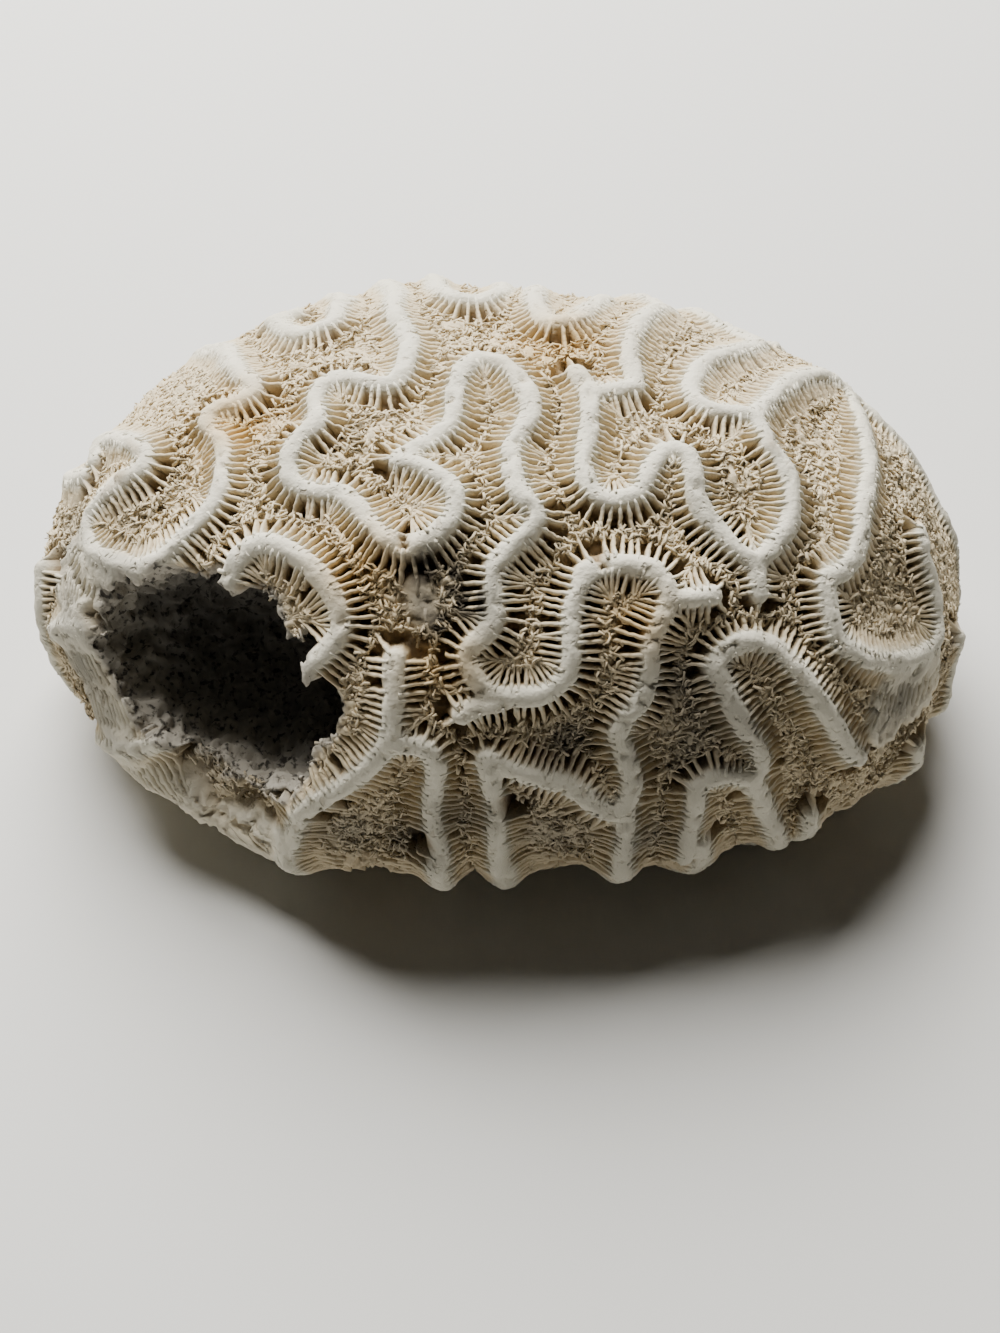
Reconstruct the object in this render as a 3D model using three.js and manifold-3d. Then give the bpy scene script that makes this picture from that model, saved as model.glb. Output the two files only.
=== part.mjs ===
// Brain coral: one grown piece, a worn oval colony with a bored hollow in its front left side.
// The solid is the skin that touches the crests of the walls, cut off flat underneath, with the hollow open.
// Millimetres, +Z up, the front along -Y, and the origin on the cut under the middle of the piece.
import * as THREE from "three";
import { mergeVertices } from "three/addons/utils/BufferGeometryUtils.js";
import Module from "manifold-3d";

// Driving dimensions of the colony: its rim is the widest level, given as a radius at each step of azimuth,
// anticlockwise from +X, and the dome and the underside curve in from it.
const RIM_RADII = [39.5, 36, 30, 28.5, 32, 37, 40.5, 35, 30, 27, 29.5, 36.5];
const RIM_HEIGHT = 9;
const DOME_RISE = 27.5;
const UNDERSIDE_DROP = 12;
const FULLNESS = 2.25; // exponent of the curves from the rim to the top and to the underside, 2 being an ellipse
const DOME_DETAIL = 13; // cuts along each edge of the icosahedron that the dome is mapped from

// The hollow is two rounded chambers that meet: the mouth, and a deeper pocket behind the right lip.
// Each is a centre, the half sizes along its own axes, and its turn about Z and then its dip about its own X, in degrees.
const MOUTH = { centre: [-21.5, -16.5, 20], half: [11.5, 12, 8.5], turn: -32, dip: -25 };
const POCKET = { centre: [-13.5, -14.5, 19], half: [9, 9.5, 7.5], turn: -20, dip: -10 };
const CHAMBER_DETAIL = 6;
const CHAMBER_LUMPS = 0.06; // share of a chamber's radius that its wall wavers by
const LUMP_WAVES = [3.1, 2.3, 2.7]; // waves of that wavering across a chamber, along its three axes

const CORAL_COLOUR = "#e2d8c4";
const CORAL_ROUGHNESS = 0.95;

const wasm = await Module();
wasm.setup();

// A closed geometry as a solid that can be joined and cut.
function solidOf(geometry) {
  geometry.deleteAttribute("normal");
  geometry.deleteAttribute("uv");
  const merged = mergeVertices(geometry);
  return new wasm.Manifold(
    new wasm.Mesh({
      numProp: 3,
      vertProperties: new Float32Array(merged.attributes.position.array),
      triVerts: new Uint32Array(merged.index.array),
    }),
  );
}

// A solid's vertices and triangles as a geometry.
function geometryOf(solid) {
  const mesh = solid.getMesh();
  return new THREE.BufferGeometry()
    .setAttribute("position", new THREE.BufferAttribute(mesh.vertProperties, 3))
    .setIndex(new THREE.BufferAttribute(mesh.triVerts, 1));
}

// The rim's radius at an azimuth in radians, on a smooth closed curve through RIM_RADII.
function rimRadius(azimuth) {
  const count = RIM_RADII.length;
  const place = ((azimuth / (2 * Math.PI)) * count + count) % count;
  const step = Math.floor(place);
  const [before, from, to, after] = [-1, 0, 1, 2].map((k) => RIM_RADII[(step + k + count) % count]);
  const t = place - step;
  const slopeFrom = (to - before) / 2;
  const slopeTo = (after - from) / 2;
  const bend = 2 * (from - to) + slopeFrom + slopeTo;
  const pull = 3 * (to - from) - 2 * slopeFrom - slopeTo;
  return ((bend * t + pull) * t + slopeFrom) * t + from;
}

// Moves each vertex of a geometry to where a function of its old place puts it.
function remap(geometry, place) {
  const position = geometry.attributes.position;
  const point = new THREE.Vector3();
  for (let i = 0; i < position.count; i++) {
    place(point.fromBufferAttribute(position, i));
    position.setXYZ(i, point.x, point.y, point.z);
  }
  return geometry;
}

// The whole dome with its rounded underside, mapped from a unit sphere.
function domeGeometry() {
  return remap(new THREE.IcosahedronGeometry(1, DOME_DETAIL), (point) => {
    const level = THREE.MathUtils.clamp(point.z, -1, 1);
    const azimuth = Math.atan2(point.y, point.x);
    const reach = rimRadius(azimuth) * Math.pow(1 - level * level, 1 / FULLNESS);
    const rise = level > 0 ? DOME_RISE : UNDERSIDE_DROP;
    const height = Math.sign(level) * Math.pow(Math.abs(level), 2 / FULLNESS) * rise;
    point.set(reach * Math.cos(azimuth), reach * Math.sin(azimuth), RIM_HEIGHT + height);
  });
}

// One chamber of the hollow: an ellipsoid with a wavering wall.
function chamberGeometry({ centre, half, turn, dip }) {
  const angles = [dip, 0, turn].map(THREE.MathUtils.degToRad);
  const place = new THREE.Matrix4().compose(
    new THREE.Vector3(...centre),
    new THREE.Quaternion().setFromEuler(new THREE.Euler(...angles, "ZXY")),
    new THREE.Vector3(...half),
  );
  return remap(new THREE.IcosahedronGeometry(1, CHAMBER_DETAIL), (point) => {
    const [wavesX, wavesY, wavesZ] = LUMP_WAVES;
    const lump = Math.sin(wavesX * point.x + point.z) * Math.cos(wavesY * point.y) + Math.sin(wavesZ * point.z);
    point.multiplyScalar(1 + (CHAMBER_LUMPS * lump) / 2).applyMatrix4(place);
  });
}

// Everything below the cut, as one block wider than the colony.
function groundGeometry() {
  const side = 4 * Math.max(...RIM_RADII);
  return new THREE.BoxGeometry(side, side, side).translate(0, 0, -side / 2);
}

// The colony with its hollow, standing on the cut and centred over the origin.
function coralGeometry() {
  const hollow = solidOf(chamberGeometry(MOUTH)).add(solidOf(chamberGeometry(POCKET)));
  const solid = solidOf(domeGeometry()).subtract(hollow).subtract(solidOf(groundGeometry()));
  const geometry = geometryOf(solid);
  geometry.computeBoundingBox();
  const middle = geometry.boundingBox.getCenter(new THREE.Vector3());
  return geometry.translate(-middle.x, -middle.y, 0);
}

const coral = new THREE.Mesh(
  coralGeometry(),
  new THREE.MeshStandardMaterial({ color: CORAL_COLOUR, roughness: CORAL_ROUGHNESS, metalness: 0 }),
);
coral.name = "coral";

const part = new THREE.Group();
part.add(coral);
export default part;
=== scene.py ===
import math

import bpy
import numpy as np
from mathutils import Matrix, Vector, noise
from mathutils.bvhtree import BVHTree
from mathutils.kdtree import KDTree


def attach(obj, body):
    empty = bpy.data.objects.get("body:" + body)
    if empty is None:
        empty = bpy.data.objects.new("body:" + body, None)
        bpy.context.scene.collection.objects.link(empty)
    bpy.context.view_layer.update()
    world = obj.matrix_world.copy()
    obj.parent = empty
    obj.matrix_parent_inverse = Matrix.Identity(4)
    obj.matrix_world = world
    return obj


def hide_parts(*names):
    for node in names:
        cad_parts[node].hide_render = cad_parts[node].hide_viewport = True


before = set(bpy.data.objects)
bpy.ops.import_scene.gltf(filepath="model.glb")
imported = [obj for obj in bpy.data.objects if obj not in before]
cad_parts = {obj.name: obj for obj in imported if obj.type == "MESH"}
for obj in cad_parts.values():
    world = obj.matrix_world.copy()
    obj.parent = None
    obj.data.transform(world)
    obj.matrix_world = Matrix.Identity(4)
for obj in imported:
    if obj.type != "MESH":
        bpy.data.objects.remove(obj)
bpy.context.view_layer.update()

# Brain coral: a worn oval colony, modelled inside the skin that touches the crests of its walls.
# Lengths named below are in millimetres until MM turns them into the frame's metres.
MM = 0.001
MERGE_DISTANCE = 0.01
SEED_SHIFT = (17.3, 5.1, 9.7)

# The camera, as the photograph saw the coral, and the photograph's own frame in pixels
PHOTO_WIDTH = 1000
PHOTO_HEIGHT = 1333
FOCAL_PIXELS = 1792.5
CAMERA_AIM = Vector((0, -7.4, 10))
CAMERA_RISE = math.radians(50)
CAMERA_DISTANCE = 150
SENSOR = 36
NEAREST_SEEN = 1

# How the crests are laid on the skin, and how far a hidden wall runs on to the end of a traced one
SKIN_MIDDLE_HEIGHT = 14
SKIN_REACH = 100
CURVE_STEPS = 12
CREST_STEP = 0.1
JOIN_LEAST_HEIGHT = 20
JOIN_REACH = 15
JOIN_FROM = 5

# Relief of the walls and valleys below the skin; a ripple is a swing, a size and a seed
CREST_HALF_WIDTH = 0.72
CREST_WIDTH_RIPPLES = ((0.22, 2.6, 1), (0.16, 1.0, 9))
CREST_SAG = 0.3
CREST_ROUNDNESS = 2.2
WALL_RUN = 0.5
FLANK_RUN = 2.2
FLOOR_DEPTH = 2.0
FLOOR_SWING = 0.6
FLOOR_GRAIN = (0.6, 2)
MAT_DEPTH = 1.22
MAT_STARTS = 2.0
MAT_REACHED = 3.0
FLANK_DEPTH = 0.8
FLANK_FLOOR_SWING = 0.3
COSTA_HEIGHT = 0.3
FLANK_FROM = 9
FLANK_TO = 13
SKIRT_EDGE = (0.8, 1.15)
FACING_APART = (4.0, 5.6)
LOW_FROM = 14
LOW_TO = 7
LOW_EXTRA = 0.8
LOW_ACROSS = (0.8, 2.4)
LOW_TOP_SHARE = 0.6
CHIP_DEPTH = 2.6
CHIP_RIPPLE = (0.9, 0.9, 11)
PIT_DEPTH = 1.2
PORE_DEPTH = 0.25
PORE_EDGE = (0.36, 0.55)
PORE_GRAIN = (0.8, 7)
MOUND_DEPTH = 1.2
MOUND_EDGE = (0.2, 0.75)
SURFACE_RIPPLE = (0.18, 1.1, 3)
LEAST_DISTANCE = 0.2
FACING_PROBES = (6, 9, 11.5)
BODY_VOXEL = 0.27
BODY_SMOOTHING = 6
SKIN_LEAST_HEIGHT = 1
CUT_SPARE = 4
GROUND_SIZE = 1000
CUT_TAPER = 0.9
BODY_TRIANGLES = 190000

# Septa: thin blades that stand on the valley floors, square to the walls
SEPTUM_SPACING = 0.68
SEPTUM_STEP = 0.3
SEPTUM_STATIONS = 9
SEPTUM_CORNERS = 5
SEPTUM_LONGEST = 4.3
SEPTUM_LENGTH_FROM = 0.85
SEPTUM_LENGTH_SPREAD = 0.3
SEPTUM_LEAST_STEPS = 3
SHORT_LENGTH_SHARE = 0.75
SEPTUM_THICKNESS = 0.3
SHORT_THICKNESS = 0.9 * SEPTUM_THICKNESS
SEPTUM_WIDTH_FROM = 0.85
SEPTUM_WIDTH_SPREAD = 0.3
SEPTUM_ROUNDING = 0.16
SEPTUM_FOOT_SHARE = 0.6
SEPTUM_LEAN = 0.05
SEPTUM_JAGS = 0.18
SEPTUM_WOBBLE = 0.08
SEPTUM_ROOT = 0.35
SEPTUM_LEAST_HEIGHT = 0.4
START_SHARE = 0.5
START_CLEARANCE = 0.93
START_CROWDING = 1.2
END_TURNS = 26
LEAST_GAIN = 0.25
STEADINESS = 0.6
SEPTUM_PROBES = (0.4, 1.6)
BARE_SHARE = 0.9
COSTA_FADE_FROM = 2.5
COSTA_FADE = 0.35
COSTA_JAG_LOSS = 0.6
COSTA_LONGEST = 6.5
LOWEST_COSTA = 0.8
SEPTUM_TOP_AT = (0.3, 0.55, 0.9, 1.4, 2.1, 3.0, 4.5)
SEPTUM_TOP_DEPTH = (0.05, 0.13, 0.31, 0.57, 0.84, 1.02, 1.1)

# Columella: the tangle of small rods along the middle of each valley
ROD_STATIONS = 3
ROD_SIDES = 3
RODS_A_LAYER = 13000
ROD_LAYERS = {"columella_upper": -0.05, "columella_lower": 0.12}
ROD_LENGTH = (0.45, 0.7)
ROD_THICKNESS = (0.08, 0.08)
ROD_BEND = 0.5
ROD_ARCH = 0.2
ROD_ARCH_BIAS = 0.3
ROD_DEPTH_SPREAD = 0.25
ROD_CROSSWISE = 0.4
ROD_ALONG = 1.3
ROD_STRAY = 0.7
ROD_FLATNESS = 0.6
ROD_PROBES = (1.0, 2.4)
ROD_MOST_OUTSIDE = 0.3
ROD_MOST_MOUND = 0.4
ROD_LEAST_DISTANCE = 2.2
MIDDLE_LEAST_DISTANCE = 0.9
MIDDLE_REACH = 0.6
MIDDLE_GAIN = 0.2
LOWEST_ROD = 9

# Lumps that the whole skin is worn down by, and the size of each lump
LUMP_DEPTH = 0.45
LUMP_SWING = 1.0
LUMP_SIZE = 8
LUMP_SEED = 4
LOW_LUMP_SWING = 0.5
LOW_LUMP_SIZE = 2.8
LOW_LUMP_SEED = 10
LOW_LUMP_BIAS = 0.3

# The hollow: what counts as its wall in the frame's solid, and the way out of its mouth
HOLLOW_LEAST_DEPTH = 0.3
HOLLOW_LEAST_HEIGHT = 2
HOLLOW_VOXEL = 0.3
HOLLOW_RIPPLES = ((1.1, 2.6, 5), (0.9, 0.9, 6), (0.5, 0.5, 8))
HOLLOW_WAY_OUT = Vector((-3.6, -5.7, 4.3))
LEDGE_FROM = -16
LEDGE_SHARE = 0.6
LEDGE_THICKNESS = (1.5, 4.5)

# Crests of the walls that the photograph shows, traced in its pixels
TRACED_WALLS = {
    "left_meander": [
        (207, 320), (222, 345), (235, 366), (250, 378), (236, 390), (212, 400), (200, 413), (213, 432),
        (216, 455), (214, 480), (206, 502), (188, 523), (168, 545), (150, 560), (128, 568), (104, 562),
        (86, 548), (80, 522), (92, 502), (115, 484), (136, 468), (141, 455), (133, 442), (112, 436),
        (90, 438), (76, 446)],
    "top_left_loop": [
        (338, 276), (338, 295), (332, 312), (312, 319), (290, 322), (272, 316), (272, 300), (285, 288)],
    "upper_centre": [
        (395, 282), (392, 300), (400, 315), (407, 330), (406, 345), (400, 360), (388, 371), (370, 373),
        (347, 370), (325, 375), (313, 390), (316, 408), (312, 422), (295, 435), (287, 450), (284, 465),
        (292, 480), (312, 484), (335, 486), (350, 497), (362, 513), (375, 527), (392, 540), (412, 543),
        (432, 534), (448, 518), (456, 500), (452, 483), (440, 470), (424, 460), (408, 452), (396, 452)],
    "centre_meander": [
        (396, 452), (418, 435), (438, 422), (450, 407), (453, 388), (457, 370), (467, 356), (482, 350),
        (500, 354), (516, 365), (527, 382), (531, 402), (522, 420), (513, 435), (512, 450), (514, 468),
        (518, 483), (527, 497), (535, 508), (533, 522), (522, 535), (508, 548), (497, 562), (493, 580),
        (494, 600), (494, 620), (486, 635), (473, 648), (466, 660), (470, 672), (477, 685), (490, 697),
        (515, 702), (540, 700), (558, 690), (568, 678), (572, 660), (573, 640), (572, 620), (577, 600),
        (582, 582), (592, 568), (610, 562), (632, 563), (652, 567), (666, 578), (671, 595), (667, 613),
        (657, 632), (652, 650), (653, 668), (650, 688), (642, 708), (630, 725), (622, 742), (628, 768),
        (635, 790), (628, 810), (612, 818), (595, 812), (582, 800), (565, 792), (545, 787), (520, 779),
        (500, 771), (487, 764)],
    "front_wall": [(487, 764), (492, 790), (497, 820), (498, 850), (500, 885)],
    "loop_spur": [(462, 718), (480, 711), (505, 706)],
    "right_spur": [(670, 600), (690, 598), (715, 594)],
    "left_front_wall": [
        (392, 660), (393, 690), (391, 720), (386, 748), (368, 772), (345, 790), (318, 806), (297, 824),
        (287, 848), (285, 880)],
    "front_small_loop": [
        (386, 748), (405, 748), (424, 752), (434, 770), (434, 795), (431, 818), (432, 840), (440, 865),
        (440, 892)],
    "hollow_arch": [
        (212, 604), (222, 580), (236, 555), (258, 541), (282, 547), (303, 561), (322, 582), (333, 605),
        (336, 630), (322, 652), (303, 672), (294, 692), (304, 708)],
    "right_hook": [
        (578, 362), (590, 378), (592, 400), (589, 425), (586, 450), (588, 472), (600, 489), (622, 493),
        (642, 486), (650, 468), (661, 450), (675, 443), (690, 452), (697, 470), (701, 490), (711, 510),
        (726, 528), (743, 545), (762, 560), (765, 575), (767, 592)],
    "top_link": [
        (592, 385), (607, 380), (625, 377), (638, 372), (634, 350), (634, 332), (642, 316), (655, 305),
        (672, 298)],
    "upper_right": [
        (765, 332), (745, 340), (722, 346), (704, 357), (696, 374), (700, 390), (715, 403), (738, 408),
        (757, 412)],
    "right_inner": [
        (757, 412), (765, 425), (770, 440), (782, 455), (792, 475), (796, 495), (795, 515), (787, 533),
        (775, 548), (763, 560)],
    "right_loop": [
        (757, 412), (770, 398), (787, 381), (810, 371), (835, 373), (855, 385), (866, 405), (873, 430),
        (876, 455), (873, 480), (868, 505), (865, 530), (860, 552), (848, 568), (834, 578), (835, 598),
        (838, 618), (842, 636), (855, 651), (878, 661), (905, 664), (930, 659), (945, 645), (950, 622),
        (948, 598), (942, 574), (934, 552), (928, 530)],
    "lower_right_arch": [
        (758, 800), (768, 780), (764, 757), (750, 735), (738, 712), (728, 688), (720, 668), (733, 652),
        (755, 643), (778, 648), (796, 663), (810, 683), (824, 706), (838, 727), (850, 750), (862, 762)],
    "front_right_rim": [(700, 797), (718, 788), (742, 788), (762, 792)],
    "right_low_wall": [(628, 812), (627, 840), (621, 880)],
    "middle_low_wall": [(700, 797), (696, 830), (690, 868)],
    "far_low_wall": [(762, 795), (774, 828), (783, 860)],
    "left_flank": [(44, 634), (58, 629), (75, 632)],
    "lower_lip": [(92, 748), (118, 756), (150, 758), (172, 752)],
    "top_centre": [(437, 276), (448, 286), (468, 291), (490, 288), (503, 278)],
    "top_right_loop": [
        (535, 279), (537, 296), (546, 311), (562, 316), (580, 309), (592, 297), (606, 289)],
}

# Marks that the photograph shows: where each lies in its pixels, and its radius
MARKS = {
    "stain": [((450, 578), 2.2), ((468, 604), 2.0), ((428, 562), 1.6), ((440, 625), 1.6)],
    "warm": [((230, 410), 4.0), ((360, 570), 3.5), ((440, 665), 3.0), ((640, 620), 2.5), ((560, 330), 4.0)],
    # Grey patches: partly grime, partly painted shade on the front and both flanks, which face away from
    # the light.
    "grime_and_shade": [
        ((705, 735), 5.0), ((570, 752), 2.2), ((520, 815), 2.2), ((410, 855), 3.0), ((690, 690), 3.0),
        ((465, 830), 3.0), ((560, 850), 4.0), ((655, 845), 3.5), ((340, 850), 3.5), ((60, 605), 3.0),
        ((72, 680), 4.0), ((100, 735), 3.0), ((180, 790), 3.5),
        ((48, 545), 3.5), ((88, 640), 3.0), ((108, 580), 2.5), ((915, 710), 3.0)],
    "mound": [((414, 582), 1.3), ((418, 598), 1.5), ((422, 614), 1.3)],
    "pit": [
        ((402, 536), 0.36), ((403, 544), 0.34), ((600, 556), 0.4), ((605, 565), 0.3), ((570, 752), 1.2),
        ((520, 815), 1.4), ((410, 855), 1.4)],
    "chip": [((180, 788), 3.6), ((228, 826), 3.6)],
    "skirt": [
        ((62, 572), 4.2), ((105, 588), 3.2), ((66, 650), 4.0), ((92, 712), 3.6), ((935, 690), 3.6),
        ((905, 715), 3.6)],
}

# Crests on the hidden back and ends, as azimuth and rise in degrees about the middle of the rim
HIDDEN_MIDDLE = Vector((0, 0, 9))
STEM_SHAPE = ((0, 2), (1, -7), (0, -16))
FRONT_STEMS = (236, 260, 270, 289, 301, 316, 334)
HIDDEN_WALLS = {
    "back_stem": [(116, 38), (117, 32), (122, 25), (126, 17), (124, 8), (118, 1), (116, -7)],
    "back_loop": [
        (105, 38), (105, 31), (109, 23), (111, 14), (106, 7), (99, 9), (96, 16), (97, 24), (92, 31),
        (89, 38)],
    "back_sweep": [(81, 38), (81, 31), (84, 23), (83, 15), (85, 6), (91, -1), (101, -4), (107, -9)],
    "back_right_stem": [(63, 36), (62, 30), (66, 23), (71, 16), (70, 8), (74, 0), (73, -8)],
    "back_right_wave": [(50, 35), (49, 29), (52, 21), (56, 13), (57, 5), (62, -3), (61, -10)],
    "right_end_hook": [
        (35, 29), (37, 23), (41, 16), (44, 9), (40, 2), (33, 0), (28, 5), (24, 11), (18, 13), (13, 9),
        (12, 2), (15, -6)],
    "right_low_spur": [(50, -1), (46, -6), (40, -10)],
    "back_left_stem": [(127, 36), (129, 30), (135, 23), (138, 15), (136, 7), (131, 0), (130, -8)],
    "left_back_wave": [(148, 27), (146, 21), (150, 13), (149, 5), (144, -2), (142, -9)],
    "left_end_wave": [(179, 25), (175, 20), (170, 15), (165, 11), (160, 5), (157, -3), (160, -10)],
    "left_end_spur": [(180, 1), (174, -3), (171, -10)],
    "right_end_stem": [(17, 31), (12, 26), (9, 19), (4, 12), (3, 5), (-1, -2), (1, -9)],
    "right_corner_stem": [(-13, 9), (-12, 3), (-14, -3), (-12, -10)],
    "left_corner_stem": [(186, 14), (190, 9), (190, 4), (188, 0), (191, -5), (189, -11)],
}

# How the finish lies on the relief: distances from a crest, depths and heights
# Valleys and the slots between septa turn browner the deeper they lie: partly the brown they have, partly
# painted shade.
SUNK_FROM = 0.15
SUNK_RUN = 0.65
MAT_PALING = 0.5
MAT_PALING_ACROSS = (1.7, 2.4)
WHITE_ACROSS = (0.6, 1.7)
WHITE_DEPTH_SHARE = 0.5
WHITE_DEPTH_FROM = 0.3
WHITE_DEPTH_MOST = 2
FLANK_WHITE = 0.75
HOLLOW_SKIN = (0.05, 0.5)
# Deep in the hollow its grey darkens with depth below the skin: painted shade.
INNER_SHADE_DEPTHS = (2, 9)
CUT_HEIGHT = 0.02

# Stage: the floor's size in metres, and the lights
FLOOR_SIZE = 4
FLOOR_COLOUR = (0.66, 0.655, 0.63, 1)
FLOOR_ROUGHNESS = 0.9
FLOOR_SPECULAR = 0.1
WINDOW_PLACE = (-85, 242, 353)
WINDOW_SIZE = 400
WINDOW_POWER = 7.7
WINDOW_COLOUR = (1, 0.985, 0.95)
WINDOW_AIM = Vector((0, 0, 0.01))
ROOM_COLOUR = (0.95, 0.97, 1, 1)
ROOM_STRENGTH = 0.02

CHANCE_SEED = 11


# Work in edit and object mode

def deselect_all():
    bpy.ops.object.select_all(action="DESELECT")


def pick(piece):
    deselect_all()
    piece.select_set(True)
    bpy.context.view_layer.objects.active = piece


def copy_of_coral(name):
    pick(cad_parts["coral"])
    bpy.ops.object.duplicate()
    piece = bpy.context.active_object
    piece.name = name
    piece.data.name = name
    pick(piece)
    bpy.ops.object.mode_set(mode="EDIT")
    bpy.ops.mesh.select_all(action="SELECT")
    bpy.ops.mesh.remove_doubles(threshold=MERGE_DISTANCE * MM)
    bpy.ops.object.mode_set(mode="OBJECT")
    return piece


def apply_modifier(piece, kind, **settings):
    pick(piece)
    bpy.ops.object.modifier_add(type=kind)
    modifier = piece.modifiers[-1]
    for setting, value in settings.items():
        setattr(modifier, setting, value)
    bpy.ops.object.modifier_apply(modifier=modifier.name)


def tree_of(piece):
    return BVHTree.FromObject(piece, bpy.context.evaluated_depsgraph_get())


def places_of(piece):
    places = np.empty(len(piece.data.vertices) * 3)
    piece.data.vertices.foreach_get("co", places)
    return places.reshape(-1, 3) / MM


def put_places(piece, places):
    piece.data.vertices.foreach_set("co", (places * MM).ravel())
    piece.data.update()


def normals_of(piece):
    normals = np.empty(len(piece.data.vertices) * 3)
    piece.data.vertices.foreach_get("normal", normals)
    return normals.reshape(-1, 3)


def smoothstep(low, high, value):
    t = np.clip((value - low) / (high - low), 0, 1)
    return t * t * (3 - 2 * t)


def ripple(places, size, seed):
    shift = Vector([seed * part for part in SEED_SHIFT])
    return np.array([noise.noise(Vector(place) / size + shift) for place in places])


def ripples(places, layers):
    return sum(swing * ripple(places, size, seed) for swing, size, seed in layers)


# Camera

def make_camera():
    away = Vector((0, -math.cos(CAMERA_RISE), math.sin(CAMERA_RISE)))
    place = CAMERA_AIM + away * CAMERA_DISTANCE
    bpy.ops.object.camera_add(location=place * MM, rotation=(math.pi / 2 - CAMERA_RISE, 0, 0))
    camera = bpy.context.active_object
    camera.name = "camera"
    camera.data.sensor_fit = "VERTICAL"
    camera.data.sensor_height = SENSOR
    camera.data.lens = SENSOR * FOCAL_PIXELS / PHOTO_HEIGHT
    camera.data.clip_start = NEAREST_SEEN * MM
    bpy.context.scene.camera = camera
    bpy.context.view_layer.update()
    return camera


def sight_line(camera, pixel):
    across = (pixel[0] - PHOTO_WIDTH / 2) / FOCAL_PIXELS
    down = (pixel[1] - PHOTO_HEIGHT / 2) / FOCAL_PIXELS
    way = camera.matrix_world.to_3x3() @ Vector((across, -down, -1))
    return camera.matrix_world.translation, way.normalized()


# Skin: the coral with its hollow bridged over, which the crests are laid on

def make_skin():
    skin = copy_of_coral("skin")
    bpy.ops.object.mode_set(mode="EDIT")
    bpy.ops.mesh.select_all(action="SELECT")
    bpy.ops.mesh.convex_hull()
    bpy.ops.object.mode_set(mode="OBJECT")
    return skin


def on_skin_by_pixel(camera, skin_tree, pixel):
    start, way = sight_line(camera, pixel)
    hit = skin_tree.ray_cast(start, way)[0]
    if hit is None:
        middle = Vector((0, 0, SKIN_MIDDLE_HEIGHT * MM))
        nearest = start + way * (middle - start).dot(way)
        hit = skin_tree.find_nearest(nearest)[0]
    return np.array(hit) / MM


def on_skin_by_angles(skin_tree, azimuth, rise):
    turn, lift = math.radians(azimuth), math.radians(rise)
    way = Vector((math.cos(turn) * math.cos(lift), math.sin(turn) * math.cos(lift), math.sin(lift)))
    start = (HIDDEN_MIDDLE + way * SKIN_REACH) * MM
    return np.array(skin_tree.ray_cast(start, -way)[0]) / MM


def smooth_line(points, step):
    """Points a step apart on a smooth curve through the points of a traced line."""
    points = np.asarray(points)
    padded = np.vstack([2 * points[0] - points[1], points, 2 * points[-1] - points[-2]])
    fine = []
    for before, start, end, after in zip(padded, padded[1:], padded[2:], padded[3:]):
        for t in np.linspace(0, 1, CURVE_STEPS, endpoint=False):
            fine.append(0.5 * (2 * start + (end - before) * t
                               + (2 * before - 5 * start + 4 * end - after) * t ** 2
                               + (3 * start - before - 3 * end + after) * t ** 3))
    fine = np.array(fine + [points[-1]])
    along = np.concatenate([[0], np.cumsum(np.linalg.norm(np.diff(fine, axis=0), axis=1))])
    wanted = np.linspace(0, along[-1], max(2, int(round(along[-1] / step)) + 1))
    return np.column_stack([np.interp(wanted, along, fine[:, k]) for k in range(3)])


def join(line, ends):
    """A hidden wall's line run on to the nearest end of a traced wall, where one is near enough."""
    line = list(line)
    for at_start in (True, False):
        tip = line[0] if at_start else line[-1]
        if tip[2] < JOIN_LEAST_HEIGHT or not ends:
            continue
        apart = [np.linalg.norm(end - tip) for end in ends]
        if min(apart) < JOIN_REACH:
            end = ends.pop(int(np.argmin(apart)))
            line = [end] + line if at_start else line + [end]
    return line


def lay_walls(camera, skin_tree):
    lines = []
    for pixels in TRACED_WALLS.values():
        lines.append([on_skin_by_pixel(camera, skin_tree, pixel) for pixel in pixels])
    ends = [line[0] for line in lines] + [line[-1] for line in lines]
    ends = [end for end in ends if end[1] > JOIN_FROM]
    stems = [[(turn + sway, rise) for sway, rise in STEM_SHAPE] for turn in FRONT_STEMS]
    for angles in list(HIDDEN_WALLS.values()) + stems:
        line = [on_skin_by_angles(skin_tree, azimuth, rise) for azimuth, rise in angles]
        lines.append(join(line, ends))
    walls = []
    for line in lines:
        smooth = smooth_line(line, CREST_STEP)
        walls.append(np.array([skin_tree.find_nearest(Vector(p) * MM)[0] for p in smooth]) / MM)
    return walls


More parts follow.
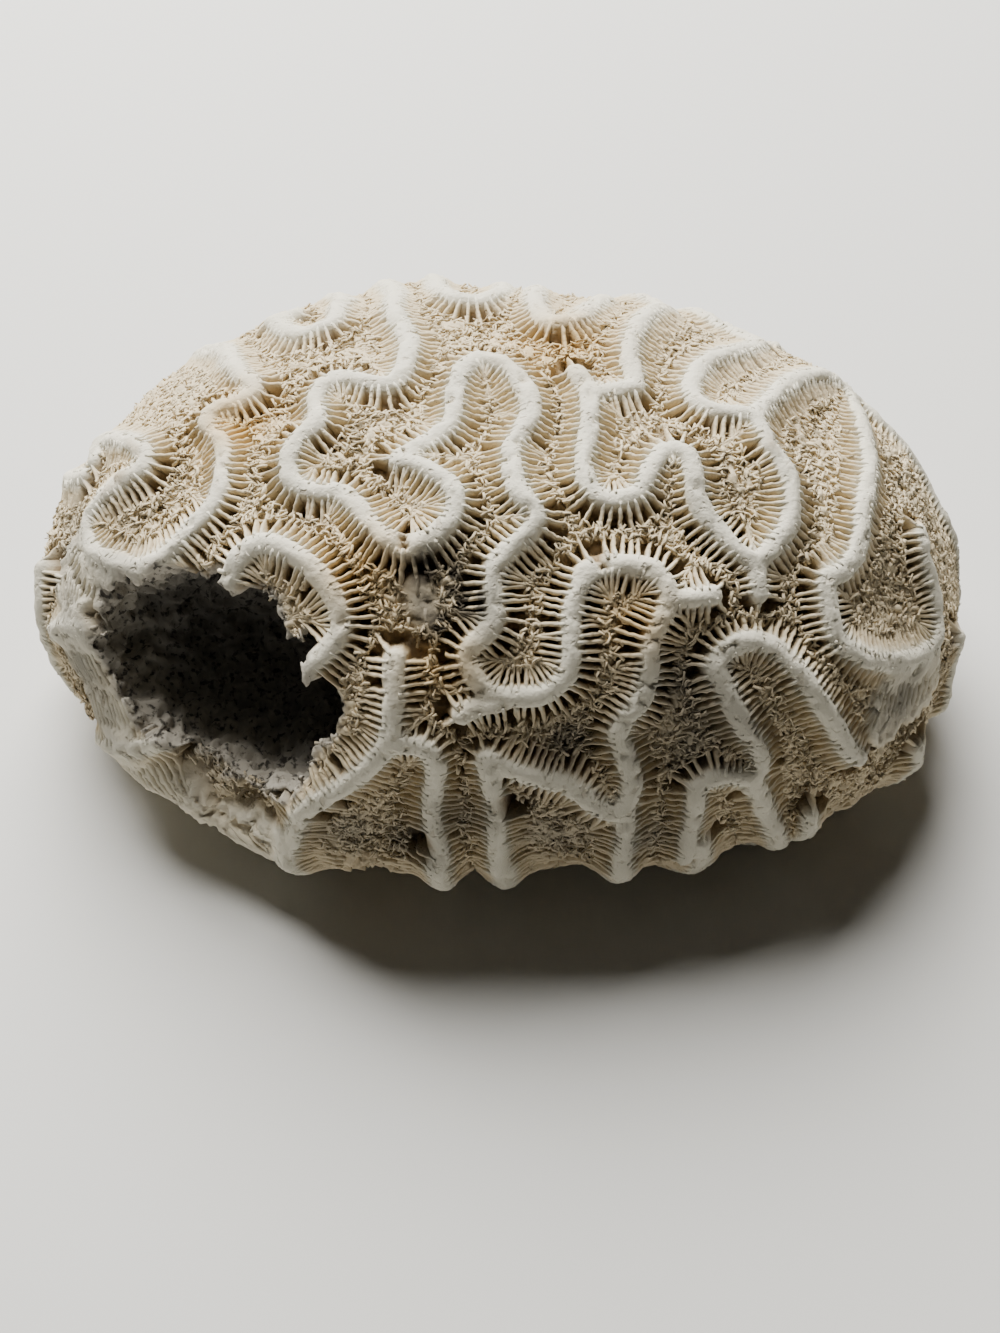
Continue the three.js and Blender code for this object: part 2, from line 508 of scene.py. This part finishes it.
class Crests:
    """Every crest point, and how any place lies to the nearest of them."""

    def __init__(self, walls, skirts):
        self.skirts = skirts
        self.points = np.vstack(walls)
        self.tree = KDTree(len(self.points))
        for index, point in enumerate(self.points):
            self.tree.insert(point, index)
        self.tree.balance()

    def nearest(self, place):
        point, index, distance = self.tree.find(place)
        return np.array(point), distance

    def distances(self, places):
        return np.array([self.tree.find(place)[2] for place in places])

    def in_middle(self, place):
        """True close to the line along a narrow valley where the septa of its two walls meet."""
        point, distance = self.nearest(place)
        if distance < MIDDLE_LEAST_DISTANCE:
            return False
        ahead = place + (place - point) / distance * MIDDLE_REACH
        return self.tree.find(ahead)[2] < distance + MIDDLE_GAIN

    def outside(self, places):
        """1 on the flank below the outermost walls, 0 where a second wall faces the nearest one."""
        apart = [np.linalg.norm(places - centre, axis=1) / radius for centre, radius in self.skirts]
        share = 1 - smoothstep(*SKIRT_EDGE, np.min(apart, axis=0))
        low = 1 - smoothstep(FLANK_FROM, FLANK_TO, places[:, 2])
        for index in np.flatnonzero(low):
            point, distance = self.nearest(places[index])
            way = (places[index] - point) / max(distance, LEAST_DISTANCE)
            facing = min(self.tree.find(point + way * reach)[2] for reach in FACING_PROBES)
            share[index] = max(share[index], low[index] * smoothstep(*FACING_APART, facing))
        return share


def low_share(places):
    """0 on the dome, 1 near the bottom, where the valleys are deeper."""
    return 1 - smoothstep(LOW_TO, LOW_FROM, np.asarray(places)[..., 2])


def floor_depth(distance, outside, low):
    """How deep the floor lies under the skin, at a distance from the nearest crest."""
    valley = FLOOR_DEPTH - (FLOOR_DEPTH - MAT_DEPTH) * smoothstep(MAT_STARTS, MAT_REACHED, distance)
    valley = valley + LOW_EXTRA * low * smoothstep(*LOW_ACROSS, distance)
    return valley + (FLANK_DEPTH - valley) * outside


def top_depth(distance, outside, low):
    """How deep the top edges of the septa lie, and on the flank those of the costae."""
    top = np.interp(distance, SEPTUM_TOP_AT, SEPTUM_TOP_DEPTH)
    top = top + LOW_TOP_SHARE * LOW_EXTRA * low * smoothstep(*LOW_ACROSS, distance)
    return top + (np.minimum(top, FLANK_DEPTH - COSTA_HEIGHT) - top) * outside


def worn_depth(places, marks):
    """How far the skin is worn down or chipped at each place."""
    places = np.asarray(places)
    chips = CHIP_DEPTH * mark_strength(marks, "chip", places)
    small = ripple(places, LOW_LUMP_SIZE, LOW_LUMP_SEED) + LOW_LUMP_BIAS
    small = LOW_LUMP_SWING * low_share(places) * small
    return LUMP_DEPTH + LUMP_SWING * ripple(places, LUMP_SIZE, LUMP_SEED) + small + chips


def lay_marks(camera, skin_tree):
    return {kind: [(on_skin_by_pixel(camera, skin_tree, pixel), radius) for pixel, radius in spots]
            for kind, spots in MARKS.items()}


def mark_strength(marks, kind, places):
    """1 at the middle of a mark of this kind, falling to 0 past its radius."""
    strength = np.zeros(len(places))
    for centre, radius in marks[kind]:
        apart = np.linalg.norm(places - centre, axis=1) / radius
        strength = np.maximum(strength, np.exp(-apart ** 2))
    return strength


# Body: walls and valleys

def depth_under(skin_tree, place):
    near, normal = skin_tree.find_nearest(Vector(place) * MM)[:2]
    return (near - Vector(place) * MM).dot(normal) / MM


def make_hollow_cutter(skin_tree):
    cutter = copy_of_coral("hollow_cutter")
    bpy.ops.object.mode_set(mode="EDIT")
    bpy.ops.mesh.select_mode(type="FACE")
    bpy.ops.object.mode_set(mode="OBJECT")
    for polygon in cutter.data.polygons:
        depth = skin_tree.find_nearest(polygon.center)[3]
        polygon.select = depth < HOLLOW_LEAST_DEPTH * MM or polygon.center.z < HOLLOW_LEAST_HEIGHT * MM
    bpy.ops.object.mode_set(mode="EDIT")
    bpy.ops.mesh.delete(type="FACE")
    bpy.ops.mesh.select_all(action="SELECT")
    bpy.ops.mesh.region_to_loop()
    bpy.ops.mesh.extrude_region_move(TRANSFORM_OT_translate={"value": HOLLOW_WAY_OUT * MM})
    bpy.ops.mesh.edge_face_add()
    bpy.ops.mesh.select_all(action="SELECT")
    bpy.ops.mesh.normals_make_consistent(inside=False)
    bpy.ops.mesh.quads_convert_to_tris()
    bpy.ops.object.mode_set(mode="OBJECT")
    apply_modifier(cutter, "REMESH", mode="VOXEL", voxel_size=HOLLOW_VOXEL * MM)
    places = places_of(cutter)
    places += normals_of(cutter) * ripples(places, HOLLOW_RIPPLES)[:, None]
    depth = np.array([depth_under(skin_tree, place) for place in places])
    past = np.clip(places[:, 0] - LEDGE_FROM, 0, None)
    places[:, 0] -= LEDGE_SHARE * past * (1 - smoothstep(*LEDGE_THICKNESS, depth))
    put_places(cutter, places)
    return cutter


def in_hollow(hollow_tree, place):
    near, normal = hollow_tree.find_nearest(Vector(place) * MM)[:2]
    return (Vector(place) * MM - near).dot(normal) < 0


def reaches_hollow(hollow_tree, place, normal, depths):
    return any(in_hollow(hollow_tree, place - normal * depth) for depth in depths)


def make_body(skin, skin_tree, crests, marks):
    pick(skin)
    bpy.ops.object.duplicate()
    body = bpy.context.active_object
    body.name = "coral_body"
    body.data.name = "coral_body"
    for vertex in body.data.vertices:
        if vertex.co.z < MERGE_DISTANCE * MM:
            vertex.co = Vector((vertex.co.x * CUT_TAPER, vertex.co.y * CUT_TAPER, -CUT_SPARE * MM))
    apply_modifier(body, "REMESH", mode="VOXEL", voxel_size=BODY_VOXEL * MM)
    apply_modifier(body, "SMOOTH", factor=0.5, iterations=BODY_SMOOTHING)
    places = places_of(body)
    normals = normals_of(body)
    skinned = places[:, 2] > SKIN_LEAST_HEIGHT
    normals[skinned] = [skin_tree.find_nearest(Vector(p) * MM)[1] for p in places[skinned]]
    distance = crests.distances(places)
    outside = crests.outside(places)
    mound = mark_strength(marks, "mound", places)
    half = CREST_HALF_WIDTH * (1 + ripples(places, CREST_WIDTH_RIPPLES))
    crest = CREST_SAG * np.clip(distance / half, 0, 1) ** CREST_ROUNDNESS
    side = smoothstep(0, 1, (distance - half) / (WALL_RUN + FLANK_RUN * outside))
    swing = FLOOR_SWING - FLANK_FLOOR_SWING * outside
    floor = floor_depth(distance, outside, low_share(places)) + swing * ripple(places, *FLOOR_GRAIN)
    floor += (MOUND_DEPTH - floor) * smoothstep(*MOUND_EDGE, mound)
    drop = crest + (floor - CREST_SAG) * side + PIT_DEPTH * mark_strength(marks, "pit", places)
    drop += ripples(places, [SURFACE_RIPPLE])
    drop += PORE_DEPTH * smoothstep(*PORE_EDGE, ripple(places, *PORE_GRAIN))
    drop += mark_strength(marks, "chip", places) * ripples(places, [CHIP_RIPPLE])
    drop += worn_depth(places, marks)
    put_places(body, places - normals * drop[:, None])
    open_floor = (outside < ROD_MOST_OUTSIDE) & (places[:, 2] > LOWEST_ROD) & (mound < ROD_MOST_MOUND)
    mat = [place for place, far in zip(places[open_floor], distance[open_floor])
           if far > ROD_LEAST_DISTANCE or crests.in_middle(place)]
    return body, np.array(mat)


def cut_flat(body):
    """Cuts off everything under the level that the coral rests on."""
    bpy.ops.mesh.primitive_cube_add(size=GROUND_SIZE * MM, location=(0, 0, -GROUND_SIZE * MM / 2))
    ground = bpy.context.active_object
    apply_modifier(body, "BOOLEAN", operation="DIFFERENCE", object=ground, solver="MANIFOLD")
    bpy.data.objects.remove(ground)


def keep_largest(body):
    """Drops the loose crumbs that the cuts leave."""
    pick(body)
    bpy.ops.object.mode_set(mode="EDIT")
    bpy.ops.mesh.select_all(action="SELECT")
    bpy.ops.mesh.separate(type="LOOSE")
    bpy.ops.object.mode_set(mode="OBJECT")
    parts = sorted(bpy.context.selected_objects, key=lambda part: len(part.data.vertices))
    for crumb in parts[:-1]:
        bpy.data.objects.remove(crumb)
    parts[-1].name = "coral_body"
    parts[-1].data.name = "coral_body"
    return parts[-1]


def cut_hollow(body, cutter):
    apply_modifier(body, "BOOLEAN", operation="DIFFERENCE", object=cutter, solver="MANIFOLD")


def thin_out(body):
    body.data.calc_loop_triangles()
    count = len(body.data.loop_triangles)
    if count > BODY_TRIANGLES:
        apply_modifier(body, "DECIMATE", ratio=BODY_TRIANGLES / count)


# Septa

def septum_starts(walls, crests, skin_tree):
    """Places along both sides and round the ends of every wall, one for each septum."""
    starts = []
    offset = START_SHARE * CREST_HALF_WIDTH
    for wall in walls:
        tangents = np.gradient(wall, axis=0)
        tangents /= np.linalg.norm(tangents, axis=1)[:, None]
        normals = np.array([skin_tree.find_nearest(Vector(p) * MM)[1] for p in wall])
        across = np.cross(normals, tangents)
        across /= np.linalg.norm(across, axis=1)[:, None]
        ring = list(wall + across * offset)
        turns = np.linspace(0, math.pi, END_TURNS)[1:-1]
        ring += [wall[-1] + offset * (across[-1] * math.cos(a) + tangents[-1] * math.sin(a)) for a in turns]
        ring += list((wall - across * offset)[::-1])
        ring += [wall[0] + offset * (-across[0] * math.cos(a) - tangents[0] * math.sin(a)) for a in turns]
        travelled = SEPTUM_SPACING / 2
        before = None
        for place in ring:
            point, distance = crests.nearest(place)
            if distance < START_CLEARANCE * offset:
                before = None
                continue
            if before is not None:
                travelled += np.linalg.norm(place - before) * START_CROWDING
            before = place
            if travelled >= SEPTUM_SPACING:
                travelled -= SEPTUM_SPACING
                starts.append(place)
    return starts


def in_marks(spots, place):
    return any(np.linalg.norm(place - centre) < radius for centre, radius in spots)


def septum_path(start, crests, skin_tree, hollow_tree, bare, longest):
    """Skin places from a wall's shoulder to the middle of the valley, or None where there is no room."""
    path = [start]
    point, far = crests.nearest(start)
    way = start - point
    while far < (COSTA_LONGEST if crests.outside(path[-1][None])[0] > 0.5 else longest):
        place = path[-1] + way / np.linalg.norm(way) * SEPTUM_STEP
        near = skin_tree.find_nearest(Vector(place) * MM)
        place = np.array(near[0]) / MM
        point, reached = crests.nearest(place)
        if reached < far + LEAST_GAIN * SEPTUM_STEP or place[2] < LOWEST_COSTA:
            break
        normal = np.array(near[1])
        if reaches_hollow(hollow_tree, place, normal, SEPTUM_PROBES) or in_marks(bare, place):
            break
        far = reached
        new_way = place - point
        way = STEADINESS * way / np.linalg.norm(way) + (1 - STEADINESS) * new_way / np.linalg.norm(new_way)
        path.append(place)
    return np.array(path) if len(path) > SEPTUM_LEAST_STEPS else None


def resample(path, count):
    along = np.concatenate([[0], np.cumsum(np.linalg.norm(np.diff(path, axis=0), axis=1))])
    wanted = np.linspace(0, along[-1], count)
    return np.column_stack([np.interp(wanted, along, path[:, k]) for k in range(3)])


def blade_section(width, top, bottom):
    """Corners of a septum's section, as sideways and downwards offsets."""
    shoulder = top + SEPTUM_ROUNDING
    foot = width * SEPTUM_FOOT_SHARE
    return [(-foot, bottom), (-width * 0.5, shoulder), (0, top), (width * 0.5, shoulder), (foot, bottom)]


def tube_faces(first, stations, corners):
    """Faces of a closed tube whose sections, a number of corners each, start at one vertex."""
    faces = []
    for base in range(first, first + (stations - 1) * corners, corners):
        for k in range(corners):
            after = (k + 1) % corners
            faces.append((base + k, base + after, base + corners + after, base + corners + k))
    last = first + (stations - 1) * corners
    faces.append(tuple(first + k for k in reversed(range(corners))))
    faces.append(tuple(last + k for k in range(corners)))
    return faces


def make_septa(name, paths, crests, skin_tree, marks, thickness, chance):
    places, faces = [], []
    for path in paths:
        line = resample(path, SEPTUM_STATIONS)
        way = np.gradient(line, axis=0)
        way /= np.linalg.norm(way, axis=1)[:, None]
        lean = SEPTUM_LEAN * (chance.random() - 0.5)
        outsides = crests.outside(line)
        first = len(places)
        for station, place in enumerate(line):
            normal = np.array(skin_tree.find_nearest(Vector(place) * MM)[1])
            side = np.cross(normal, way[station])
            distance = crests.nearest(place)[1]
            outside = outsides[station]
            low = low_share(place)
            worn = worn_depth([place], marks)[0]
            jag = SEPTUM_JAGS * (chance.random() - 0.5) * (1 - COSTA_JAG_LOSS * outside)
            top = top_depth(distance, outside, low) + jag
            root = floor_depth(distance, outside, low) + SEPTUM_ROOT
            bottom = max(root, top + SEPTUM_LEAST_HEIGHT) + worn
            top += COSTA_FADE * outside * smoothstep(COSTA_FADE_FROM, COSTA_LONGEST, distance)
            top += worn
            width = thickness * (SEPTUM_WIDTH_FROM + SEPTUM_WIDTH_SPREAD * chance.random())
            wobble = (SEPTUM_WOBBLE * (chance.random() - 0.5) + lean * station) * (1 - outside)
            for across, down in blade_section(width, top, bottom):
                places.append(place + side * (across + wobble) - normal * down)
        faces += tube_faces(first, SEPTUM_STATIONS, SEPTUM_CORNERS)
    return mesh_piece(name, places, faces)


def mesh_piece(name, places, faces):
    mesh = bpy.data.meshes.new(name)
    mesh.from_pydata((np.array(places) * MM).tolist(), [], faces)
    mesh.update()
    piece = bpy.data.objects.new(name, mesh)
    bpy.context.collection.objects.link(piece)
    pick(piece)
    bpy.ops.object.mode_set(mode="EDIT")
    bpy.ops.mesh.select_all(action="SELECT")
    bpy.ops.mesh.normals_make_consistent(inside=False)
    bpy.ops.object.mode_set(mode="OBJECT")
    bpy.ops.object.shade_smooth()
    return piece


# Columella

def make_columella(name, mat, layer, skin_tree, hollow_tree, crests, marks, chance):
    places, faces = [], []
    for spot in chance.choice(mat, RODS_A_LAYER, replace=False):
        normal = np.array(skin_tree.find_nearest(Vector(spot) * MM)[1])
        if reaches_hollow(hollow_tree, spot, normal, ROD_PROBES):
            continue
        crest, distance = crests.nearest(spot)
        away = (spot - crest) / distance
        if chance.random() < ROD_CROSSWISE:
            away = np.cross(normal, away)
        turn = ROD_ALONG * away + ROD_STRAY * chance.normal(0, 1, 3)
        run = turn - normal * np.dot(turn, normal) * ROD_FLATNESS
        run /= np.linalg.norm(run)
        bow = np.cross(normal, run)
        bow /= np.linalg.norm(bow)
        length = ROD_LENGTH[0] + ROD_LENGTH[1] * chance.random()
        depth = top_depth(distance, 0, low_share(spot)) + worn_depth([spot], marks)[0]
        depth += layer + ROD_DEPTH_SPREAD * chance.random()
        bend = ROD_BEND * (chance.random() - 0.5)
        arch = ROD_ARCH * (chance.random() - ROD_ARCH_BIAS)
        first = len(places)
        for t in np.linspace(-0.5, 0.5, ROD_STATIONS):
            curve = 1 - 4 * t * t
            thick = ROD_THICKNESS[0] + ROD_THICKNESS[1] * chance.random()
            middle = spot + run * length * t + bow * bend * curve - normal * (depth - arch * curve)
            for k in range(ROD_SIDES):
                angle = 2 * math.pi * k / ROD_SIDES
                places.append(middle + thick * (bow * math.cos(angle) + normal * math.sin(angle)))
        faces += tube_faces(first, ROD_STATIONS, ROD_SIDES)
    return mesh_piece(name, places, faces)


# Attributes that the finishes read

def write_attribute(piece, name, values):
    attribute = piece.data.attributes.new(name, "FLOAT", "POINT")
    attribute.data.foreach_set("value", np.asarray(values, dtype=np.float32))


def mark_surface(piece, crests, skin_tree, hollow_tree, marks):
    places = places_of(piece)
    near = [skin_tree.find_nearest(Vector(p) * MM) for p in places]
    on_skin = np.array([n[0] for n in near]) / MM
    depth = np.array([n[3] for n in near]) / MM - worn_depth(on_skin, marks)
    distance = crests.distances(on_skin)
    outside = crests.outside(on_skin)
    hollow = np.array([hollow_tree.find_nearest(Vector(p) * MM)[3] for p in places]) / MM
    low = low_share(on_skin)
    # Painted shade and brown: the deeper below the septa tops, the browner, less so on the open mat.
    sunk_brown_and_shade = np.clip((depth - top_depth(distance, outside, low) - SUNK_FROM) / SUNK_RUN, 0, 1)
    sunk_brown_and_shade *= 1 - MAT_PALING * smoothstep(*MAT_PALING_ACROSS, distance)
    below = WHITE_DEPTH_SHARE * np.clip(depth - WHITE_DEPTH_FROM, 0, WHITE_DEPTH_MOST)
    white = 1 - smoothstep(*WHITE_ACROSS, distance + below)
    write_attribute(piece, "white", np.maximum(white, FLANK_WHITE * outside))
    write_attribute(piece, "sunk_brown_and_shade", sunk_brown_and_shade)
    write_attribute(piece, "hollow", 1 - smoothstep(*HOLLOW_SKIN, hollow))
    # Painted shade: the hollow's grey darkens the deeper it lies below the skin.
    write_attribute(piece, "inner_shade", smoothstep(*INNER_SHADE_DEPTHS, depth))
    write_attribute(piece, "cut", places[:, 2] < CUT_HEIGHT)
    # The grey patches are partly grime and partly painted shade.
    for kind in ("stain", "warm", "grime_and_shade", "mound"):
        write_attribute(piece, kind, mark_strength(marks, kind, on_skin))


# Finishes

class Shade:
    """A shader socket that grows Math nodes as expressions use it."""

    def __init__(self, tree, socket):
        self.tree = tree
        self.socket = socket

    def add(self, kind, settings, sockets, output=0):
        node = self.tree.nodes.new(kind)
        for setting, value in settings.items():
            setattr(node, setting, value)
        for name, value in sockets.items():
            if isinstance(value, Shade):
                self.tree.links.new(value.socket, node.inputs[name])
            else:
                node.inputs[name].default_value = value
        return Shade(self.tree, node.outputs[output])

    def math(self, operation, first, second):
        return self.add("ShaderNodeMath", {"operation": operation}, {0: first, 1: second})

    def clamped(self):
        return self.add("ShaderNodeClamp", {}, {"Value": self})

    def __add__(self, other):
        return self.math("ADD", self, other)

    def __radd__(self, other):
        return self.math("ADD", other, self)

    def __sub__(self, other):
        return self.math("SUBTRACT", self, other)

    def __rsub__(self, other):
        return self.math("SUBTRACT", other, self)

    def __mul__(self, other):
        return self.math("MULTIPLY", self, other)

    def __rmul__(self, other):
        return self.math("MULTIPLY", other, self)


def start_finish(name):
    material = bpy.data.materials.new(name)
    material.use_nodes = True
    tree = material.node_tree
    shader = tree.nodes["Principled BSDF"]
    return material, shader, Shade(tree, None)


def feed(shade, shader, name):
    shade.tree.links.new(shade.socket, shader.inputs[name])


def attribute(sheet, name):
    return sheet.add("ShaderNodeAttribute", {"attribute_name": name}, {}, "Fac")


def grain(sheet, scale, detail):
    coordinates = sheet.add("ShaderNodeTexCoord", {}, {}, "Object")
    return sheet.add("ShaderNodeTexNoise", {}, {
        "Vector": coordinates, "Scale": scale / MM, "Detail": detail}, "Fac")


def steps(sheet, value, low, high):
    """0 below the low value and 1 above the high one."""
    return sheet.add("ShaderNodeMapRange", {}, {
        "Value": value, "From Min": low, "From Max": high, "To Min": 0, "To Max": 1})


def blend(sheet, share, under, over):
    return sheet.add("ShaderNodeMix", {"data_type": "RGBA"}, {0: share, 6: under, 7: over}, 2)


# Colours of the skeleton, of what has settled on it, and of its hollow and its cut; BROWN is partly painted
# shade in the valleys, GREY partly painted shade on the flanks and deep in the hollow
CHALK = (0.72, 0.68, 0.555, 1)
CREAM = (0.665, 0.56, 0.38, 1)
OCHRE = (0.62, 0.42, 0.17, 1)
BROWN = (0.30, 0.215, 0.12, 1)
PALE_GREY = (0.30, 0.285, 0.25, 1)
LIP = (0.44, 0.405, 0.34, 1)
GREY = (0.19, 0.178, 0.155, 1)
SPECK = (0.03, 0.027, 0.024, 1)
CUT_PORE = (0.36, 0.30, 0.21, 1)

# Grains of the finish, as waves per millimetre and detail, and where each starts and is full
MOTTLE = (0.3, 4)
FINE_GRAIN = (2.4, 3)
HOLES = (1.25, 2)
HOLES_EDGE = (0.62, 0.72)
STAIN_PATCHES = (0.9, 4)
STAIN_EDGE = (0.38, 0.5)
SPECKS = (1.7, 3)
SPECKS_EDGE = (0.54, 0.64)
CUT_PORES = (2.0, 4)
CUT_PORES_EDGE = (0.52, 0.62)
CUT_PATCHES = (0.25, 2)
CUT_PATCHES_EDGE = (0.3, 0.6)
BUMP_HEIGHT = 0.16
BUMP_STRENGTH = 0.7
HOLES_BUMP = 0.8
SPECULAR = 0.2
LEAST_ROUGHNESS = 0.86
ROUGHNESS_SPREAD = 0.12

# Shares of the layers: what the white of the crests and the mottling add, and how much each stain and each
# painted shade covers
WHITE_GAIN = 1.2
WHITE_MOTTLE = 0.6
WHITE_BIAS = 0.4
WARM_LEAST = 0.2
WARM_MOTTLE = 0.9
SUNK_COVER = 0.95
HOLES_COVER = 0.3
GRIME_AND_SHADE_LEAST = 0.25
GRIME_AND_SHADE_MOTTLE = 0.6
MOUND_COVER = 0.6
STAIN_COVER = 0.95
SPECKS_COVER = 0.85


def skeleton_finish(name):
    material, shader, sheet = start_finish(name)
    shader.inputs["Specular IOR Level"].default_value = SPECULAR
    white = attribute(sheet, "white")
    sunk_brown_and_shade = attribute(sheet, "sunk_brown_and_shade")
    mottle = grain(sheet, *MOTTLE)
    fine = grain(sheet, *FINE_GRAIN)
    holes = steps(sheet, grain(sheet, *HOLES), *HOLES_EDGE)
    chalky = (white * WHITE_GAIN + mottle * WHITE_MOTTLE - WHITE_BIAS).clamped()
    colour = blend(sheet, chalky, CREAM, CHALK)
    colour = blend(sheet, attribute(sheet, "warm") * (WARM_LEAST + WARM_MOTTLE * mottle), colour, OCHRE)
    # Brown by depth in the slots and valleys, partly their own brown and partly painted shade, and brown in
    # the small pits of the crests.
    colour = blend(sheet, (sunk_brown_and_shade * SUNK_COVER + holes * HOLES_COVER).clamped(), colour, BROWN)
    # Grey patches: partly grime, partly painted shade on faces turned from the light.
    colour = blend(sheet, attribute(sheet, "grime_and_shade") * (GRIME_AND_SHADE_LEAST + mottle * GRIME_AND_SHADE_MOTTLE), colour, GREY)
    patches = steps(sheet, grain(sheet, *STAIN_PATCHES), *STAIN_EDGE)
    colour = blend(sheet, attribute(sheet, "mound") * MOUND_COVER, colour, PALE_GREY)
    colour = blend(sheet, (attribute(sheet, "stain") * patches * STAIN_COVER).clamped(), colour, SPECK)
    specks = steps(sheet, grain(sheet, *SPECKS), *SPECKS_EDGE)
    # The hollow's grey, pale at the lip and darker deeper in: painted shade on its own grey.
    inside = blend(sheet, attribute(sheet, "inner_shade"), LIP, GREY)
    inside = blend(sheet, specks * SPECKS_COVER, inside, SPECK)
    colour = blend(sheet, attribute(sheet, "hollow"), colour, inside)
    pores = steps(sheet, grain(sheet, *CUT_PORES), *CUT_PORES_EDGE)
    cut_patches = steps(sheet, grain(sheet, *CUT_PATCHES), *CUT_PATCHES_EDGE)
    sawn = blend(sheet, pores * cut_patches, CHALK, CUT_PORE)
    colour = blend(sheet, attribute(sheet, "cut"), colour, sawn)
    feed(colour, shader, "Base Color")
    feed(LEAST_ROUGHNESS + ROUGHNESS_SPREAD * mottle, shader, "Roughness")
    height = fine - HOLES_BUMP * holes
    bump = sheet.add("ShaderNodeBump", {}, {
        "Strength": BUMP_STRENGTH, "Distance": BUMP_HEIGHT * MM, "Height": height}, "Normal")
    feed(bump, shader, "Normal")
    return material


def dress(piece, material):
    piece.data.materials.clear()
    piece.data.materials.append(material)
    pick(piece)
    bpy.ops.object.shade_smooth()


# Stage

def make_stage():
    bpy.ops.mesh.primitive_grid_add(x_subdivisions=8, y_subdivisions=8, size=FLOOR_SIZE)
    floor = bpy.context.active_object
    floor.name = "floor"
    material, shader, sheet = start_finish("pale_paper")
    shader.inputs["Base Color"].default_value = FLOOR_COLOUR
    shader.inputs["Roughness"].default_value = FLOOR_ROUGHNESS
    shader.inputs["Specular IOR Level"].default_value = FLOOR_SPECULAR
    floor.data.materials.append(material)


def aim(lamp, target):
    way = target - lamp.location
    lamp.rotation_euler = way.to_track_quat("-Z", "Y").to_euler()


def make_light(name, place, size, power, colour):
    bpy.ops.object.light_add(type="AREA", location=Vector(place) * MM)
    lamp = bpy.context.active_object
    lamp.name = name
    lamp.data.shape = "DISK"
    lamp.data.size = size * MM
    lamp.data.energy = power
    lamp.data.color = colour
    aim(lamp, WINDOW_AIM)


def make_lights():
    make_light("window", WINDOW_PLACE, WINDOW_SIZE, WINDOW_POWER, WINDOW_COLOUR)
    world = bpy.data.worlds.new("room")
    bpy.context.scene.world = world
    world.use_nodes = True
    background = world.node_tree.nodes["Background"]
    background.inputs["Color"].default_value = ROOM_COLOUR
    background.inputs["Strength"].default_value = ROOM_STRENGTH


# Making

def main():
    deselect_all()
    camera = make_camera()
    skin = make_skin()
    skin_tree = tree_of(skin)
    walls = lay_walls(camera, skin_tree)
    marks = lay_marks(camera, skin_tree)
    crests = Crests(walls, marks["skirt"])
    cutter = make_hollow_cutter(skin_tree)
    hollow_tree = tree_of(cutter)
    body, mat = make_body(skin, skin_tree, crests, marks)
    cut_hollow(body, cutter)
    cut_flat(body)
    body = keep_largest(body)
    thin_out(body)

    chance = np.random.default_rng(CHANCE_SEED)
    starts = septum_starts(walls, crests, skin_tree)
    bare = [(centre, BARE_SHARE * radius) for centre, radius in marks["pit"] + marks["chip"]]
    long_paths, short_paths = [], []
    for index, start in enumerate(starts):
        share = SEPTUM_LENGTH_FROM + SEPTUM_LENGTH_SPREAD * chance.random()
        every_other = index % 2 == 0
        longest = SEPTUM_LONGEST * share * (1 if every_other else SHORT_LENGTH_SHARE)
        path = septum_path(start, crests, skin_tree, hollow_tree, bare, longest)
        if path is not None:
            (long_paths if every_other else short_paths).append(path)
    long_septa = make_septa("long_septa", long_paths, crests, skin_tree, marks, SEPTUM_THICKNESS, chance)
    short_septa = make_septa(
        "short_septa", short_paths, crests, skin_tree, marks, SHORT_THICKNESS, chance)
    columella = [make_columella(name, mat, layer, skin_tree, hollow_tree, crests, marks, chance)
                 for name, layer in ROD_LAYERS.items()]

    finish = skeleton_finish("coral_skeleton")
    for piece in (body, long_septa, short_septa, *columella):
        mark_surface(piece, crests, skin_tree, hollow_tree, marks)
        dress(piece, finish)
        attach(piece, "root")
    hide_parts("coral")
    for helper in (skin, cutter):
        bpy.data.objects.remove(helper)
    make_stage()
    make_lights()


main()
